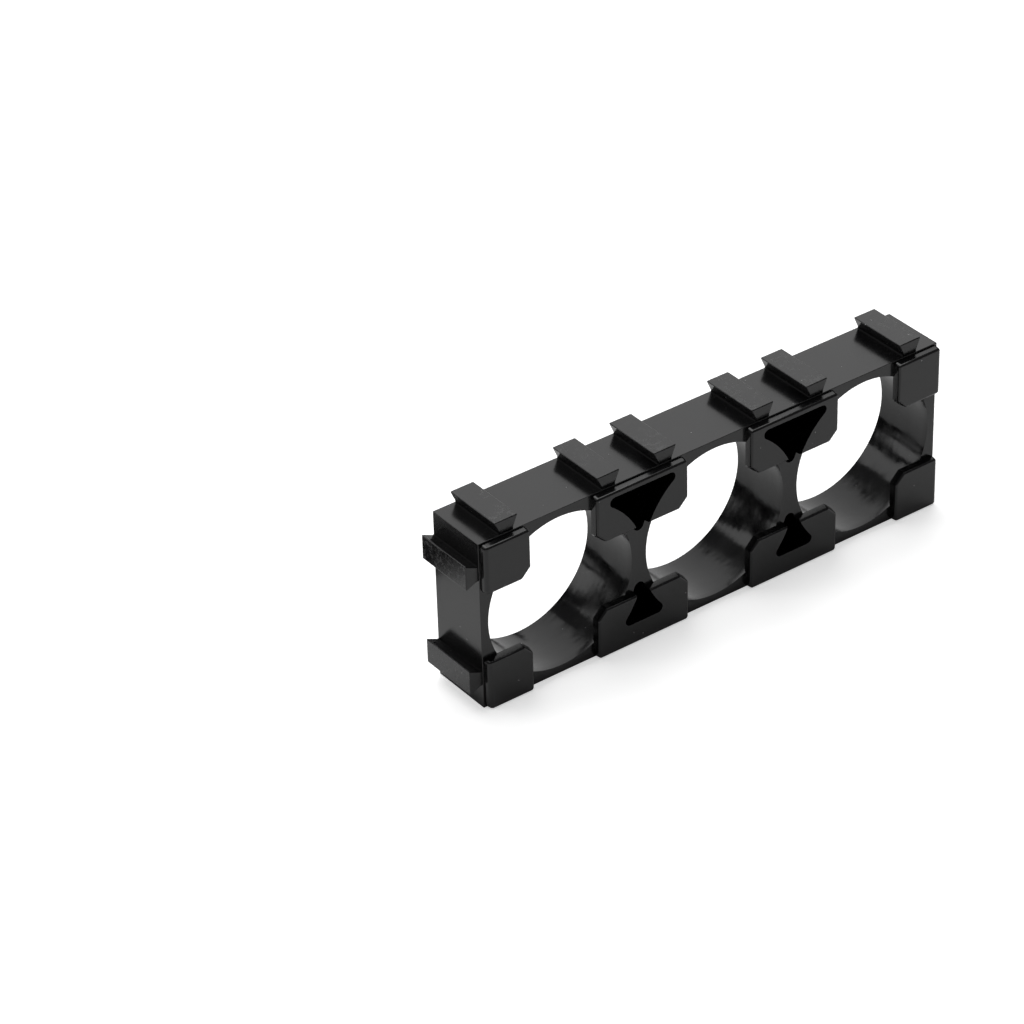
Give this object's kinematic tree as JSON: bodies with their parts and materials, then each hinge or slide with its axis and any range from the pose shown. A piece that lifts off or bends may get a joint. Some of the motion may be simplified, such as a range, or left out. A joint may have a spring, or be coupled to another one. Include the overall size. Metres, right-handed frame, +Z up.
{
  "type": "battery cell holder bracket",
  "caption": "Rectangular moulded frame with a row of round bores for cylindrical cells, stop tabs in front, and dovetail rails and grooves that lock brackets together.",
  "frame": {"origin": "middle of the flat bottom face, which has grooves in it", "axes": "+X along the row of cells, towards the grooved end; +Y along the bores, away from the tabs; +Z up, towards the long side with the rails"},
  "size_m": [0.0621, 0.0085, 0.0217],
  "materials": {
    "black_plastic": "black moulded ABS, satin"
  },
  "bodies": {
    "root": {"cell_bracket": "black_plastic"}
  },
  "joints": []
}
